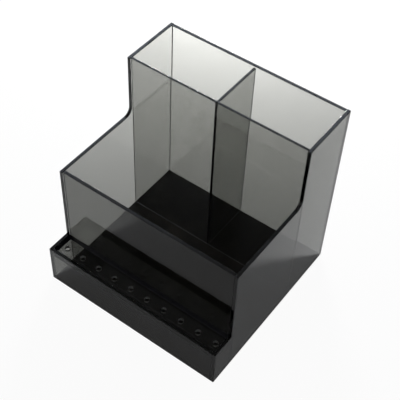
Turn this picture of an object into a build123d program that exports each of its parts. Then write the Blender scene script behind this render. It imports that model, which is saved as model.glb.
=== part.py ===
from build123d import *
import os

# Desk organiser for nail drill bits, files and brushes, built from flat acrylic sheet.
# Two stepped side panels carry everything else between them: a black base, a low rack
# with a row of drilled bit holes at the front, an open tray behind it, and two tall
# compartments at the back. All joints are cemented butt joints.
#
# Frame: +Z is up, +X is to the right of someone who faces the front, and the front is
# at -Y. The origin is the middle of the footprint, on the surface the organiser stands on.
# All sizes are in millimetres.

os.makedirs("parts", exist_ok=True)

# Outside sizes
width = 110.0
depth = 106.0
rack_height = 25.0          # rim of the low bit rack
tray_height = 74.0          # rim of the open tray
tall_height = 112.0         # rim of the two tall compartments
rack_depth = 14.0           # from the front face back to the first step
tall_depth = 36.5           # from the second step back to the back face

# Sheet thicknesses
side_sheet = 2.0
wall_sheet = 2.0            # front, tray wall and back
divider_sheet = 1.5         # the two sheets inside the tall section are thinner
partition_sheet = 1.5
plate_sheet = 2.0           # drilled bit plate
base_sheet = 2.0

# Joints and edges
cement_line = 0.1           # film of cement between two sheets
wall_set_back = 0.5         # tray wall and divider stand this far behind the side steps
step_radius = 4.5           # inside corner of the side panels at the upper step
rim_round = 0.3             # polished edge of every open rim
partition_drop = 0.8        # partition stands this far below the tall rim
partition_shift = 0.0       # partition away from the middle, towards the right

# Bit rack
bit_hole_diameter = 3.0     # clearance for a 2.35 mm shank
bit_count = 10
bit_end_margin = 3.4        # from the plate's end to the middle of the first hole
plate_recess = 3.4          # top of the bit plate below the rack's rim

# Places that several pieces share
inner_width = width - 2 * side_sheet - 2 * cement_line
bit_pitch = (inner_width - 2 * bit_end_margin) / (bit_count - 1)
front_y = -depth / 2
back_y = depth / 2
rack_step_y = front_y + rack_depth
tall_step_y = back_y - tall_depth
tray_wall_y = rack_step_y + wall_set_back       # outer face of the tray's front wall
divider_y = tall_step_y + wall_set_back         # outer face of the divider
front_inner_y = front_y + wall_sheet
back_inner_y = back_y - wall_sheet
wall_foot_z = base_sheet + cement_line          # walls that stand on the base
plate_top_z = rack_height - plate_recess
edge_round = min(rim_round, 0.4 * min(side_sheet, wall_sheet, divider_sheet, partition_sheet))

# Left side panel: one stepped sheet with a rounded inside corner at the upper step
with BuildPart() as left_side_panel:
    with BuildSketch(Plane.YZ.offset(-width / 2)) as side_profile:
        with BuildLine():
            Polyline(
                (front_y, 0),
                (front_y, rack_height),
                (rack_step_y, rack_height),
                (rack_step_y, tray_height),
                (tall_step_y, tray_height),
                (tall_step_y, tall_height),
                (back_y, tall_height),
                (back_y, 0),
                close=True,
            )
        make_face()
        upper_step = side_profile.vertices().sort_by_distance((tall_step_y, tray_height))[0]
        fillet(upper_step, radius=step_radius)
    extrude(amount=side_sheet)
    # the open rims are polished round on both faces, and the two uprights on the outer face
    outer_edges = left_side_panel.faces().sort_by(Axis.X)[0].edges()
    inner_edges = left_side_panel.faces().sort_by(Axis.X)[-1].edges()
    outer_open = outer_edges.sort_by(Axis.Z)[1:]
    inner_open = inner_edges.filter_by(lambda edge: edge.center().Z >= rack_height)
    inner_open = inner_open.filter_by(lambda edge: edge.center().Y < back_y)
    fillet(outer_open + inner_open, radius=edge_round)
left_side_panel.part.label = "left_side_panel"

# Right side panel: the same sheet turned over
with BuildPart() as right_side_panel:
    mirror(left_side_panel.part, about=Plane.YZ)
right_side_panel.part.label = "right_side_panel"

# Base: an opaque sheet between the four outer walls
with BuildPart() as base_plate:
    base_depth = back_inner_y - front_inner_y - 2 * cement_line
    with BuildSketch(Plane.XY):
        Rectangle(inner_width, base_depth)
    extrude(amount=base_sheet)
base_plate.part.label = "base_plate"

# Back panel: full height, between the side panels
with BuildPart() as back_panel:
    with BuildSketch(Plane.XY):
        with Locations((0, back_y - wall_sheet / 2)):
            Rectangle(inner_width, wall_sheet)
    extrude(amount=tall_height)
    fillet(back_panel.edges().group_by(Axis.Z)[-1].filter_by(Axis.X), radius=edge_round)
back_panel.part.label = "back_panel"

# Divider: the front wall of the tall compartments, standing on the base
with BuildPart() as divider_panel:
    with BuildSketch(Plane.XY.offset(wall_foot_z)):
        with Locations((0, divider_y + divider_sheet / 2)):
            Rectangle(inner_width, divider_sheet)
    extrude(amount=tall_height - wall_foot_z)
    fillet(divider_panel.edges().group_by(Axis.Z)[-1].filter_by(Axis.X), radius=edge_round)
divider_panel.part.label = "divider_panel"

# Partition: splits the tall section into a left and a right compartment
with BuildPart() as partition_panel:
    partition_front_y = divider_y + divider_sheet + cement_line
    partition_back_y = back_inner_y - cement_line
    partition_y = (partition_front_y + partition_back_y) / 2
    with BuildSketch(Plane.XY.offset(wall_foot_z)):
        with Locations((partition_shift, partition_y)):
            Rectangle(partition_sheet, partition_back_y - partition_front_y)
    extrude(amount=tall_height - partition_drop - wall_foot_z)
    fillet(partition_panel.edges().group_by(Axis.Z)[-1].filter_by(Axis.Y), radius=edge_round)
partition_panel.part.label = "partition_panel"

# Tray wall: the front of the open tray, and the back of the bit rack
with BuildPart() as tray_front_wall:
    with BuildSketch(Plane.XY.offset(wall_foot_z)):
        with Locations((0, tray_wall_y + wall_sheet / 2)):
            Rectangle(inner_width, wall_sheet)
    extrude(amount=tray_height - wall_foot_z)
    fillet(tray_front_wall.edges().group_by(Axis.Z)[-1].filter_by(Axis.X), radius=edge_round)
tray_front_wall.part.label = "tray_front_wall"

# Front panel: the low front of the bit rack
with BuildPart() as front_panel:
    with BuildSketch(Plane.XY):
        with Locations((0, front_y + wall_sheet / 2)):
            Rectangle(inner_width, wall_sheet)
    extrude(amount=rack_height)
    fillet(front_panel.edges().group_by(Axis.Z)[-1].filter_by(Axis.X), radius=edge_round)
front_panel.part.label = "front_panel"

# Bit plate: a shelf below the rack's rim, drilled with one row of bit holes
with BuildPart() as bit_plate:
    plate_front_y = front_inner_y + cement_line
    plate_back_y = tray_wall_y - cement_line
    plate_y = (plate_front_y + plate_back_y) / 2
    with BuildSketch(Plane.XY.offset(plate_top_z - plate_sheet)):
        with Locations((0, plate_y)):
            Rectangle(inner_width, plate_back_y - plate_front_y)
            with GridLocations(bit_pitch, 0, bit_count, 1):
                Circle(bit_hole_diameter / 2, mode=Mode.SUBTRACT)
    extrude(amount=plate_sheet)
bit_plate.part.label = "bit_plate"

pieces = [
    left_side_panel,
    right_side_panel,
    base_plate,
    back_panel,
    divider_panel,
    partition_panel,
    tray_front_wall,
    front_panel,
    bit_plate,
]
for piece in pieces:
    export_step(piece.part, f"parts/{piece.part.label}.step")
    size = piece.part.bounding_box().size
    print(f"{piece.part.label}: {size.X:.1f} x {size.Y:.1f} x {size.Z:.1f} mm")
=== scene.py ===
"""Dresses the nail drill bit holder: smoked acrylic sheet, dark cement, a black base, a white studio."""

import logging
from dataclasses import dataclass, field
from enum import Enum
from math import ceil, cos, inf, log, pi, radians, sin
from typing import Any, Union

import bmesh
import bpy
from mathutils import Matrix, Vector


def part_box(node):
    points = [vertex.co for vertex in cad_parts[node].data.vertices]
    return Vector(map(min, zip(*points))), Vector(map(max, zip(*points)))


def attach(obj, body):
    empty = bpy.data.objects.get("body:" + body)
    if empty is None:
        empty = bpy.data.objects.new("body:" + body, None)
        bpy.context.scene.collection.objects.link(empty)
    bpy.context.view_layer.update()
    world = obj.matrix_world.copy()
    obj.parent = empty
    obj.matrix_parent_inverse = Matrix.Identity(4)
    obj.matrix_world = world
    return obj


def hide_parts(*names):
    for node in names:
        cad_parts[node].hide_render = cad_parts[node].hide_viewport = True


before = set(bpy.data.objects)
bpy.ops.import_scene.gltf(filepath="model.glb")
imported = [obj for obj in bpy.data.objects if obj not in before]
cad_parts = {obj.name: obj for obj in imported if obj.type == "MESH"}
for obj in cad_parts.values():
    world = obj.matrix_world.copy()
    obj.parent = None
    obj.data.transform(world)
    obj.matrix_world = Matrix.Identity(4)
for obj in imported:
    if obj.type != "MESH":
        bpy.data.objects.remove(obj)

LOG = logging.getLogger("nail_drill_bit_holder")
MM = 0.001
BODY = "root"
WHITE = (1.0, 1.0, 1.0)
MERGE_DISTANCE = 0.0005 * MM
SHARP_ANGLE = 35.0
SAME_PLACE = 1e-7
NO_SLOPE = 1e-9

Colour = tuple[float, float, float]
Point = tuple[float, float, float]
Operand = Union["Channel", float]


class Channel:
    """A number socket of a shader. Python's operators on it add Math nodes."""

    def __init__(self, graph: "Graph", socket: bpy.types.NodeSocket) -> None:
        """Wraps one output socket.

        Args:
            graph: The shader that the socket is in.
            socket: The output socket.
        """
        self.graph = graph
        self.socket = socket

    def __add__(self, other: Operand) -> "Channel":
        """Adds a number or a channel."""
        return self.graph.math("ADD", self, other)

    __radd__ = __add__

    def __mul__(self, other: Operand) -> "Channel":
        """Multiplies by a number or a channel."""
        return self.graph.math("MULTIPLY", self, other)

    __rmul__ = __mul__

    def __sub__(self, other: Operand) -> "Channel":
        """Takes a number or a channel away."""
        return self.graph.math("SUBTRACT", self, other)

    def __rsub__(self, other: Operand) -> "Channel":
        """Takes this channel away from a number."""
        return self.graph.math("SUBTRACT", other, self)

    def larger(self, other: Operand) -> "Channel":
        """Takes the larger of this and another."""
        return self.graph.math("MAXIMUM", self, other)

    def smaller(self, other: Operand) -> "Channel":
        """Takes the smaller of this and another."""
        return self.graph.math("MINIMUM", self, other)

    def clamped(self) -> "Channel":
        """Keeps the number between 0 and 1."""
        return self.larger(0.0).smaller(1.0)

    def rise(self, start: float, gain: float) -> "Channel":
        """Climbs from 0 at a number to 1.

        Args:
            start: The number at which it leaves 0.
            gain: How fast it climbs.

        Returns:
            The climb, between 0 and 1.
        """
        return ((self - start) * gain).clamped()


class Graph:
    """Builds one node tree of a material or the world."""

    def __init__(self, tree: bpy.types.NodeTree) -> None:
        """Empties the tree.

        Args:
            tree: The node tree to build in.
        """
        self.tree = tree
        tree.nodes.clear()

    def node(
        self, kind: str, settings: dict[str, Any] | None = None, inputs: dict[Any, Any] | None = None
    ) -> bpy.types.Node:
        """Adds a node.

        Args:
            kind: The node's type, such as ShaderNodeTexNoise.
            settings: The node's own settings, set before its sockets.
            inputs: Values or links by the socket's name, identifier or number.

        Returns:
            The new node.
        """
        made = self.tree.nodes.new(kind)
        for name, value in (settings or {}).items():
            setattr(made, name, value)
        for key, value in (inputs or {}).items():
            self._feed(self._socket(made, key), value)
        return made

    @staticmethod
    def _socket(made: bpy.types.Node, key: Any) -> bpy.types.NodeSocket:
        """Finds an input by number, identifier or name."""
        if isinstance(key, int):
            return made.inputs[key]
        found = [s for s in made.inputs if s.identifier == key]
        return found[0] if found else made.inputs[key]

    def _feed(self, socket: bpy.types.NodeSocket, value: Any) -> None:
        """Links or sets one input."""
        if isinstance(value, Channel):
            value = value.socket
        if isinstance(value, bpy.types.NodeSocket):
            self.tree.links.new(value, socket)
        else:
            socket.default_value = value

    def channel(
        self, kind: str, output: Any, settings: dict[str, Any] | None, inputs: dict[Any, Any] | None
    ) -> Channel:
        """Adds a node and gives one of its outputs as a channel.

        Args:
            kind: The node's type.
            output: The output's name or number.
            settings: As for node.
            inputs: As for node.

        Returns:
            The wrapped output.
        """
        return Channel(self, self.node(kind, settings, inputs).outputs[output])

    def math(self, operation: str, first: Operand, second: Operand) -> Channel:
        """Adds a Math node on two operands."""
        return self.channel("ShaderNodeMath", 0, {"operation": operation}, {0: first, 1: second})

    def blend(self, share: Operand, first: Any, second: Any) -> bpy.types.NodeSocket:
        """Mixes two colours.

        Args:
            share: How much of the second colour, from 0 to 1.
            first: A colour or a link.
            second: A colour or a link.

        Returns:
            The mixed colour.
        """
        inputs = {"Factor_Float": share, "A_Color": first, "B_Color": second}
        made = self.node("ShaderNodeMix", {"data_type": "RGBA"}, inputs)
        return next(s for s in made.outputs if s.identifier == "Result_Color")

    def noise(
        self, vector: bpy.types.NodeSocket, scale: float, detail: float = 2.0, roughness: float = 0.5
    ) -> Channel:
        """Adds a noise texture around 0.5.

        Args:
            vector: The coordinates that it reads.
            scale: Patches per metre.
            detail: How many finer layers it has.
            roughness: How strong those are.

        Returns:
            The noise's value.
        """
        inputs = {"Vector": vector, "Scale": scale, "Detail": detail, "Roughness": roughness}
        return self.channel("ShaderNodeTexNoise", 0, None, inputs)

    def place(self) -> bpy.types.NodeSocket:
        """Gives the object's own coordinates."""
        return self.node("ShaderNodeTexCoord").outputs["Object"]

    def finish(self, surface: bpy.types.NodeSocket, volume: bpy.types.NodeSocket | None = None) -> None:
        """Ends a material's tree.

        Args:
            surface: The surface's shader.
            volume: The shader of what is inside, if light goes in.
        """
        inputs = {"Surface": surface} | ({"Volume": volume} if volume else {})
        self.node("ShaderNodeOutputMaterial", None, inputs)


def opaque(colour: Colour) -> tuple[float, float, float, float]:
    """Gives a colour with full alpha."""
    return (*colour, 1.0)


def start_material(name: str) -> tuple[bpy.types.Material, Graph]:
    """Makes an empty material.

    Args:
        name: The material's name.

    Returns:
        The material, and the graph of its nodes.
    """
    material = bpy.data.materials.new(name)
    material.use_nodes = True
    return material, Graph(material.node_tree)


@dataclass(frozen=True)
class SmokedAcrylic:
    """Clear acrylic with a grey smoke tint, polished or frosted by a drill."""

    name: str = "smoked_acrylic"
    slot: str = "smoked_acrylic"
    ior: float = 1.49
    tint: Colour = (0.144, 0.150, 0.108)
    passed: float = 0.48
    thickness: float = 2.0 * MM
    roughness: float = 0.010
    smudge: float = 0.02
    smudge_scale: float = 28.0
    smudge_detail: float = 4.0
    smudge_grain: float = 0.6
    smudge_start: float = 0.55
    smudge_gain: float = 4.0
    wave_scale: float = 14.0
    wave_height: float = 0.004 * MM
    frost: float = 0.0

    def density(self) -> float:
        """Works out the volume's density.

        Returns:
            The density at which a sheet of the thickness passes that share of green light.
        """
        return -log(self.passed) / self.thickness / (1.0 - self.tint[1])

    def build(self) -> bpy.types.Material:
        """Makes the material.

        Returns:
            A see-through material with its tint in the volume.
        """
        material, graph = start_material(self.name)
        place = graph.place()
        smudges = graph.noise(place, self.smudge_scale, self.smudge_detail, self.smudge_grain)
        smudged = smudges.rise(self.smudge_start, self.smudge_gain)
        waves = graph.noise(place, self.wave_scale, 1.0)
        bump = graph.node(
            "ShaderNodeBump", None, {"Strength": 1.0, "Distance": self.wave_height, "Height": waves}
        )
        body = graph.node(
            "ShaderNodeBsdfPrincipled",
            None,
            {
                "Base Color": opaque(WHITE),
                "Roughness": self.roughness + self.smudge * smudged,
                "IOR": self.ior,
                "Transmission Weight": 1.0 - self.frost,
                "Normal": bump.outputs[0],
            },
        )
        smoke = graph.node(
            "ShaderNodeVolumeAbsorption", None, {"Color": opaque(self.tint), "Density": self.density()}
        )
        graph.finish(body.outputs[0], smoke.outputs[0])
        return material


@dataclass(frozen=True)
class DarkSolid:
    """A dark glossy solid, with patches that are a little worn or dusty."""

    name: str
    colour: Colour
    worn_colour: Colour
    roughness: float
    rub: float
    rub_scale: float
    rub_detail: float = 5.0
    rub_grain: float = 0.62
    rub_start: float = 0.48
    rub_gain: float = 4.0
    slot: str = "black_acrylic"
    ior: float = 1.49

    def build(self) -> bpy.types.Material:
        """Makes the material.

        Returns:
            A glossy dark material.
        """
        material, graph = start_material(self.name)
        patches = graph.noise(graph.place(), self.rub_scale, self.rub_detail, self.rub_grain)
        rubs = patches.rise(self.rub_start, self.rub_gain)
        body = graph.node(
            "ShaderNodeBsdfPrincipled",
            None,
            {
                "Base Color": graph.blend(rubs, opaque(self.colour), opaque(self.worn_colour)),
                "Roughness": self.roughness + self.rub * rubs,
                "IOR": self.ior,
            },
        )
        graph.finish(body.outputs[0])
        return material


class Finish(Enum):
    """The finishes of the organiser."""

    SMOKED = SmokedAcrylic()
    DRILLED = SmokedAcrylic(
        name="drilled_acrylic", roughness=0.25, smudge=0.15, smudge_scale=900.0, frost=0.34
    )
    BLACK = DarkSolid(
        name="black_acrylic",
        colour=(0.021, 0.018, 0.015),
        worn_colour=(0.038, 0.032, 0.026),
        roughness=0.05,
        rub=0.10,
        rub_scale=45.0,
    )
    CEMENT = DarkSolid(
        name="dark_cement",
        colour=(0.004, 0.004, 0.005),
        worn_colour=(0.012, 0.012, 0.013),
        roughness=0.35,
        rub=0.20,
        rub_scale=300.0,
    )
    BEAD = DarkSolid(
        name="dark_bead",
        colour=(0.005, 0.005, 0.010),
        worn_colour=(0.011, 0.011, 0.020),
        roughness=0.12,
        rub=0.10,
        rub_scale=200.0,
    )
    # Painted glow: a lighter grey for the front joints of the plate and the base, standing in for light
    # scattered out of those front edges.
    PAINTED_GLOW_JOINT = DarkSolid(
        name="painted_glow_joint",
        colour=(0.05, 0.05, 0.05),
        worn_colour=(0.09, 0.09, 0.088),
        roughness=0.35,
        rub=0.20,
        rub_scale=300.0,
    )


@dataclass
class Workshop:
    """Makes each material once, and turns meshes into finished pieces."""

    made: dict[Finish, bpy.types.Material] = field(default_factory=dict)

    def material(self, finish: Finish) -> bpy.types.Material:
        """Gives the finish's material."""
        if finish not in self.made:
            self.made[finish] = finish.value.build()
        return self.made[finish]

    def dress(self, node: str, finish: Finish) -> None:
        """Puts a finish on a CAD piece.

        Args:
            node: The piece's name.
            finish: The finish that it gets.
        """
        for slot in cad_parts[node].material_slots:
            slot.material = self.material(finish)
        LOG.info("%s: %s", node, finish.value.name)

    def piece(
        self, name: str, shape: bmesh.types.BMesh, finish: Finish, *others: Finish
    ) -> bpy.types.Object:
        """Makes a piece that rides on the organiser.

        Args:
            name: The piece's name.
            shape: Its mesh, which is used up.
            finish: The finish of its slot and of most of its faces.
            others: The finishes of faces with a higher material number.

        Returns:
            The new piece.
        """
        bmesh.ops.remove_doubles(shape, verts=shape.verts, dist=MERGE_DISTANCE)
        bmesh.ops.recalc_face_normals(shape, faces=shape.faces)
        mesh = bpy.data.meshes.new(name)
        shape.to_mesh(mesh)
        shape.free()
        mesh.shade_smooth()
        mesh.set_sharp_from_angle(angle=radians(SHARP_ANGLE))
        for each in (finish, *others):
            mesh.materials.append(self.material(each))
        made = bpy.data.objects.new(name, mesh)
        bpy.context.scene.collection.objects.link(made)
        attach(made, BODY)
        LOG.info("%s: %s, %d faces", name, finish.value.name, len(mesh.polygons))
        return made


class Side(Enum):
    """A side of a sheet, as the axis that it faces and the end of it."""

    LEFT = (0, -1)
    RIGHT = (0, 1)
    FRONT = (1, -1)
    BACK = (1, 1)
    FOOT = (2, -1)


@dataclass
class CementedJoints:
    """The films of dark cement between the sheets.

    Each film reaches a hair into both of its sheets, with no air between, and stops a little short of their
    edges.
    """

    film: float = 0.1 * MM
    bite: float = 0.02 * MM
    shy: float = 0.06 * MM
    rim_gap: float = 0.30 * MM
    ragged: float = 0.10 * MM
    ragged_rates: tuple[float, float] = (1.7, 2.3)
    ragged_shift: float = 3000.0
    step: float = 2.5 * MM
    joints: tuple[tuple[str, tuple[Side, ...]], ...] = (
        ("back_panel", (Side.LEFT, Side.RIGHT)),
        ("divider_panel", (Side.LEFT, Side.RIGHT, Side.FOOT)),
        ("tray_front_wall", (Side.LEFT, Side.RIGHT, Side.FOOT)),
        ("front_panel", (Side.LEFT, Side.RIGHT)),
        ("partition_panel", (Side.FRONT, Side.BACK, Side.FOOT)),
        ("bit_plate", (Side.LEFT, Side.RIGHT, Side.BACK)),
        ("base_plate", (Side.LEFT, Side.RIGHT, Side.BACK)),
    )
    # The front joints of the plate and the base get the lighter grey of painted glow instead of dark cement.
    painted_glow_joints: tuple[tuple[str, tuple[Side, ...]], ...] = (
        ("bit_plate", (Side.FRONT,)),
        ("base_plate", (Side.FRONT,)),
    )

    def build(self, workshop: Workshop) -> None:
        """Makes the cement of each sheet.

        Args:
            workshop: Makes the pieces.
        """
        # The second row of films is painted glow: lighter grey at the front joints.
        for ending, rows, finish in (
            ("cement", self.joints, Finish.CEMENT),
            ("front_cement_painted_glow", self.painted_glow_joints, Finish.PAINTED_GLOW_JOINT),
        ):
            for sheet, sides in rows:
                shape = bmesh.new()
                for side in sides:
                    self._film(shape, sheet, side)
                workshop.piece(f"{sheet}_{ending}", shape, finish)

    def _film(self, shape: bmesh.types.BMesh, sheet: str, side: Side) -> None:
        """Adds one film.

        Args:
            shape: The mesh that it goes into.
            sheet: The sheet that it holds.
            side: The side of the sheet that is cemented.
        """
        low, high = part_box(sheet)
        axis, end = side.value
        face = (low, high)[end > 0][axis]
        near, far = face - end * self.bite, face + end * (self.film + self.bite)
        along, across = sorted((k for k in range(3) if k != axis), key=lambda k: low[k] - high[k])
        start, stop = low[along] + self.shy, high[along] - self.shy
        if along == 2:
            stop -= self.rim_gap
        count = max(2, ceil((stop - start) / self.step))
        rows = []
        for k in range(count + 1):
            t = start + (stop - start) * k / count
            wander = [
                self.ragged * (0.5 + 0.5 * sin(k * rate + face * self.ragged_shift))
                for rate in self.ragged_rates
            ]
            lower, upper = low[across] + self.shy + wander[0], high[across] - self.shy - wander[1]
            ring = []
            for level, edge in ((near, lower), (near, upper), (far, upper), (far, lower)):
                spot = [0.0, 0.0, 0.0]
                spot[axis], spot[along], spot[across] = level, t, edge
                ring.append(shape.verts.new(spot))
            rows.append(ring)
        for ring, following in zip(rows, rows[1:]):
            for k in range(4):
                shape.faces.new((ring[k], ring[k - 1], following[k - 1], following[k]))
        shape.faces.new(rows[0])
        shape.faces.new(rows[-1][::-1])


@dataclass
class BitPlate:
    """The drilled shelf of the rack, with a small rounded edge on each bit hole.

    A flat ring around each hole keeps the rounded edge's shading off the plate's large faces.
    """

    node: str = "bit_plate"
    holes: int = 10
    pitch: float = 11.0 * MM
    bore: float = 3.0 * MM
    countersink: float = 0.10 * MM
    flat_ring: float = 1.3
    segments: int = 64
    round_steps: int = 5

    def build(self, workshop: Workshop) -> None:
        """Makes the plate and lets it stand for the CAD plate.

        Args:
            workshop: Makes the piece.
        """
        low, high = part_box(self.node)
        shape = bmesh.new()
        middle = (low.y + high.y) / 2
        for k in range(self.holes):
            centre = (k - (self.holes - 1) / 2) * self.pitch
            left = low.x if k == 0 else centre - self.pitch / 2
            right = high.x if k == self.holes - 1 else centre + self.pitch / 2
            self._cell(shape, Vector((centre, middle, 0.0)), (left, right), low, high)
        made = workshop.piece("bit_rack_plate", shape, Finish.SMOKED, Finish.DRILLED)
        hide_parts(self.node)

    def _cell(
        self, shape: bmesh.types.BMesh, centre: Vector, ends: tuple[float, float], low: Vector, high: Vector
    ) -> None:
        """Adds one hole and the plate around it.

        Args:
            shape: The mesh that it goes into.
            centre: The middle of the hole.
            ends: The left and the right end of this part of the plate.
            low: The plate's lowest corner.
            high: The plate's highest corner.
        """
        radius, sink = self.bore / 2, self.countersink
        turns = [pi / 2 * k / self.round_steps for k in range(self.round_steps + 1)]
        upper = [(high.z - sink * (1 - cos(turn)), sink * (1 - sin(turn))) for turn in turns]
        lower = [(low.z + high.z - z, wider) for z, wider in reversed(upper)]
        upper.insert(0, (upper[0][0], self.flat_ring * sink))
        lower.append((lower[-1][0], self.flat_ring * sink))
        rings = []
        for z, wider in [(high.z, None), *upper, *lower, (low.z, None)]:
            ring = []
            for k in range(self.segments):
                turn = 2 * pi * k / self.segments
                if wider is None:
                    x, y = self._on_border(turn, centre, ends, low.y, high.y)
                else:
                    x, y = centre.x + (radius + wider) * cos(turn), centre.y + (radius + wider) * sin(turn)
                ring.append(shape.verts.new((x, y, z)))
            rings.append(ring)
        for number, (ring, following) in enumerate(zip(rings, rings[1:])):
            for k in range(self.segments):
                face = shape.faces.new((ring[k], ring[k - 1], following[k - 1], following[k]))
                face.material_index = int(number == len(upper))
        outer_ends = (low.x, high.x, low.y, high.y)
        for k in range(self.segments):
            pair = (rings[0][k - 1].co, rings[0][k].co)
            for place, end in enumerate(outer_ends):
                if all(abs(spot[place // 2] - end) < SAME_PLACE for spot in pair):
                    shape.faces.new((rings[0][k - 1], rings[0][k], rings[-1][k], rings[-1][k - 1]))

    def _on_border(
        self, turn: float, centre: Vector, ends: tuple[float, float], front: float, back: float
    ) -> tuple[float, float]:
        """Follows a ray from the hole's middle to the border of its part of the plate.

        Args:
            turn: The ray's direction.
            centre: The middle of the hole.
            ends: The left and the right end of this part of the plate.
            front: The plate's front edge.
            back: The plate's back edge.

        Returns:
            The point on the border, or the corner where the ray is the nearest one to it.
        """
        reach_y = (back - front) / 2
        step = 2 * pi / self.segments
        for x_end in ends:
            for sign in (-1, 1):
                corner = Vector((x_end - centre.x, sign * reach_y))
                away = (Vector((cos(turn), sin(turn))).angle_signed(corner) + pi) % (2 * pi) - pi
                if -step / 2 < away <= step / 2:
                    return x_end, centre.y + corner.y
        reach_x = (ends[1] if cos(turn) > 0 else ends[0]) - centre.x
        along_x = reach_x / cos(turn) if abs(cos(turn)) > NO_SLOPE else inf
        along_y = reach_y / abs(sin(turn)) if abs(sin(turn)) > NO_SLOPE else inf
        if along_x < along_y:
            return centre.x + reach_x, centre.y + along_x * sin(turn)
        return centre.x + along_y * cos(turn), (back if sin(turn) > 0 else front)


@dataclass
class CornerBead:
    """The bead of dark cement that runs round the recess, in the corner between the plate and its walls."""

    plate: str = "bit_plate"
    gap: float = 0.1 * MM
    bite: float = 0.02 * MM
    tall: float = 3.15 * MM
    wide: float = 0.7 * MM
    uneven: float = 0.04
    uneven_rates: tuple[float, float] = (0.9, 0.37)
    step: float = 2.5 * MM
    curve_steps: int = 6

    def build(self, workshop: Workshop) -> None:
        """Makes the bead.

        Args:
            workshop: Makes the piece.
        """
        low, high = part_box(self.plate)
        turns = [pi / 2 * k / self.curve_steps for k in range(self.curve_steps + 1)]
        curve = [(self.wide * (1 - sin(turn)), self.tall * (1 - cos(turn))) for turn in turns]
        profile = [(-self.bite, -self.bite), (self.wide, -self.bite), *curve, (-self.bite, self.tall)]
        corners = [(low.x, low.y), (high.x, low.y), (high.x, high.y), (low.x, high.y)]
        shape = bmesh.new()
        rows = []
        for k, (x, y) in enumerate(corners):
            x_next, y_next = corners[(k + 1) % 4]
            count = ceil(max(abs(x_next - x), abs(y_next - y)) / self.step)
            for j in range(count):
                share = j / count
                rows.append(self._ring(shape, profile, low, high, (x, y), (x_next, y_next), share, len(rows)))
        for row, following in zip(rows, rows[1:] + rows[:1]):
            for k in range(len(profile)):
                shape.faces.new((row[k], row[k - 1], following[k - 1], following[k]))
        workshop.piece("bit_rack_bead", shape, Finish.BEAD)

    def _ring(
        self,
        shape: bmesh.types.BMesh,
        profile: list[tuple[float, float]],
        low: Vector,
        high: Vector,
        start: tuple[float, float],
        stop: tuple[float, float],
        share: float,
        number: int,
    ) -> list[bmesh.types.BMVert]:
        """Adds one cross-section of the bead.

        Args:
            shape: The mesh that it goes into.
            profile: Distances from the wall and heights over the plate.
            low: The plate's lowest corner.
            high: The plate's highest corner.
            start: The corner of the plate before the section.
            stop: The corner after it.
            share: How far along the side it is.
            number: Its number, which makes its height a little uneven.

        Returns:
            The section's vertices.
        """
        quick, slow = self.uneven_rates
        taller = 1.0 + self.uneven * sin(number * quick) * sin(number * slow)
        ring = []
        for inward, height in profile:
            spots = []
            for x, y in (start, stop):
                x_in = low.x - self.gap + inward if x == low.x else high.x + self.gap - inward
                y_in = low.y - self.gap + inward if y == low.y else high.y + self.gap - inward
                spots.append((x_in, y_in))
            x, y = (a + (b - a) * share for a, b in zip(*spots))
            ring.append(shape.verts.new((x, y, high.z + (height * taller if height > 0 else height))))
        return ring


@dataclass
class Organiser:
    """The whole organiser: two stepped side panels, a base, and the sheets between them."""

    smoked: tuple[str, ...] = (
        "left_side_panel",
        "right_side_panel",
        "back_panel",
        "divider_panel",
        "partition_panel",
        "tray_front_wall",
        "front_panel",
        "bit_plate",
    )
    black: tuple[str, ...] = ("base_plate",)
    plate: BitPlate = field(default_factory=BitPlate)
    joints: CementedJoints = field(default_factory=CementedJoints)
    bead: CornerBead = field(default_factory=CornerBead)

    def build(self, workshop: Workshop) -> None:
        """Dresses every sheet, and makes the drilled plate and the cement.

        Args:
            workshop: Holds the finishes and makes the pieces.
        """
        for node in self.smoked:
            workshop.dress(node, Finish.SMOKED)
        for node in self.black:
            workshop.dress(node, Finish.BLACK)
        self.plate.build(workshop)
        self.joints.build(workshop)
        self.bead.build(workshop)


@dataclass(frozen=True)
class Viewpoint:
    """The camera, at the photograph's angle."""

    azimuth: float = 34.288
    elevation: float = 48.544
    roll: float = 2.82
    distance: float = 481.44 * MM
    aim: Point = (0.0, 0.0, 49.5 * MM)
    aside: float = 4.509 * MM
    above: float = 4.034 * MM
    lens: float = 82.376
    sensor: float = 36.0
    nearest: float = 0.01

    def build(self) -> None:
        """Makes the camera and makes it the scene's own."""
        turn, lift, lean = radians(self.azimuth), radians(self.elevation), radians(self.roll)
        back = Vector((sin(turn) * cos(lift), -cos(turn) * cos(lift), sin(lift)))
        level = Vector((cos(turn), sin(turn), 0.0))
        upright = back.cross(level)
        right = cos(lean) * level + sin(lean) * upright
        up = -sin(lean) * level + cos(lean) * upright
        data = bpy.data.cameras.new("viewpoint")
        data.lens, data.sensor_width, data.sensor_fit = self.lens, self.sensor, "HORIZONTAL"
        data.clip_start = self.nearest
        camera = bpy.data.objects.new("viewpoint", data)
        spot = Vector(self.aim) + self.aside * right + self.above * up + self.distance * back
        turned = Matrix((right, up, back)).transposed().to_4x4()
        camera.matrix_world = Matrix.Translation(spot) @ turned
        bpy.context.scene.collection.objects.link(camera)
        bpy.context.scene.camera = camera


@dataclass(frozen=True)
class Lamp:
    """One soft lamp, aimed at a point."""

    name: str
    place: Point
    aim: Point
    across: float
    power: float
    colour: Colour = (1.0, 1.0, 1.0)

    def build(self) -> None:
        """Makes the lamp."""
        data = bpy.data.lights.new(self.name, "AREA")
        data.shape, data.size, data.energy, data.color = "DISK", self.across, self.power, self.colour
        lamp = bpy.data.objects.new(self.name, data)
        lamp.location = self.place
        aim = Vector(self.aim) - Vector(self.place)
        lamp.rotation_euler = aim.to_track_quat("-Z", "Y").to_euler()
        lamp.visible_camera = False
        bpy.context.scene.collection.objects.link(lamp)


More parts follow.
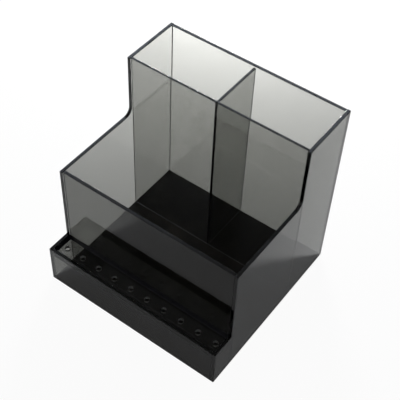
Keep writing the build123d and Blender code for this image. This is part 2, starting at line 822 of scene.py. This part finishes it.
@dataclass
class Studio:
    """A plain pale floor in a plain white room, with one soft lamp behind on the left."""

    floor_reach: float = 4.0
    floor_drop: float = 0.15 * MM
    floor_colour: Colour = (0.86, 0.86, 0.85)
    camera_white: float = 0.95
    glass_white: float = 0.08
    room: Colour = (0.215, 0.215, 0.22)
    window: Colour = (1.60, 1.74, 1.98)
    window_towards: Point = (-0.56, 0.83, 0.0)
    window_side: float = 0.52
    window_top: float = 0.80
    window_foot: float = 0.42
    window_fade: float = 0.16
    backdrop_height: float = 0.32
    backdrop_fade: float = 0.20
    bounces: int = 32
    glossy_bounces: int = 12
    key: Lamp = Lamp("key", (-0.172, 0.29, 0.165), (-0.125, 0.21, 0.0), 0.10, 1.68)

    def build(self) -> None:
        """Makes the floor, the room and the lamp, and sets how colours are shown."""
        self._floor()
        self._room()
        self.key.build()
        scene = bpy.context.scene
        scene.view_settings.view_transform = "Standard"
        scene.cycles.max_bounces = self.bounces
        scene.cycles.transmission_bounces = self.bounces
        scene.cycles.glossy_bounces = self.glossy_bounces

    def _seen(self, graph: Graph) -> tuple[Channel, Channel]:
        """Gives masks of the camera's rays, and of the rays that gloss and glass send on."""
        path = graph.node("ShaderNodeLightPath")
        camera = Channel(graph, path.outputs["Is Camera Ray"])
        glossy = Channel(graph, path.outputs["Is Glossy Ray"])
        through = Channel(graph, path.outputs["Is Transmission Ray"])
        return camera, glossy.larger(through) * (1.0 - camera)

    def _floor(self) -> None:
        """Makes the floor, which stays white to the camera and keeps a soft shadow."""
        reach = self.floor_reach
        corners = [(-reach, -reach), (reach, -reach), (reach, reach), (-reach, reach)]
        mesh = bpy.data.meshes.new("floor")
        mesh.from_pydata([(x, y, -self.floor_drop) for x, y in corners], [], [(0, 1, 2, 3)])
        material, graph = start_material("floor_paper")
        camera, glassy = self._seen(graph)
        paper = graph.node("ShaderNodeBsdfDiffuse", None, {"Color": opaque(self.floor_colour)})
        white = graph.node("ShaderNodeEmission", None, {"Color": opaque(WHITE), "Strength": 1.0})
        share = camera * self.camera_white + glassy * self.glass_white
        mixed = graph.node("ShaderNodeMixShader", None, {0: share, 1: paper.outputs[0], 2: white.outputs[0]})
        graph.finish(mixed.outputs[0])
        mesh.materials.append(material)
        floor = bpy.data.objects.new("floor", mesh)
        bpy.context.scene.collection.objects.link(floor)

    def _room(self) -> None:
        """Lights the room from a soft window behind on the left, with white low walls for glass and gloss."""
        world = bpy.data.worlds.new("room")
        bpy.context.scene.world = world
        world.use_nodes = True
        graph = Graph(world.node_tree)
        camera, glassy = self._seen(graph)
        way = graph.node("ShaderNodeTexCoord").outputs["Generated"]
        facing, height = (
            graph.channel("ShaderNodeVectorMath", "Value", {"operation": "DOT_PRODUCT"}, {0: way, 1: towards})
            for towards in (self.window_towards, (0.0, 0.0, 1.0))
        )
        edge = 1.0 / self.window_fade
        across = facing.rise(self.window_side, edge)
        below = ((self.window_top - height) * edge).clamped()
        above = height.rise(self.window_foot, edge)
        window = across * below * above
        low = ((self.backdrop_height - height) * (1.0 / self.backdrop_fade)).clamped() * (1.0 - window)
        glow = graph.blend(window, opaque(self.room), opaque(self.window))
        seen = graph.blend(camera.larger(glassy * low), glow, opaque(WHITE))
        light = graph.node("ShaderNodeBackground", None, {"Color": seen, "Strength": 1.0})
        graph.node("ShaderNodeOutputWorld", None, {"Surface": light.outputs[0]})


def main() -> None:
    """Builds the studio and the organiser."""
    logging.basicConfig(level=logging.INFO, format="%(name)s: %(message)s")
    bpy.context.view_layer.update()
    Viewpoint().build()
    Studio().build()
    Organiser().build(Workshop())


if __name__ == "__main__":
    main()
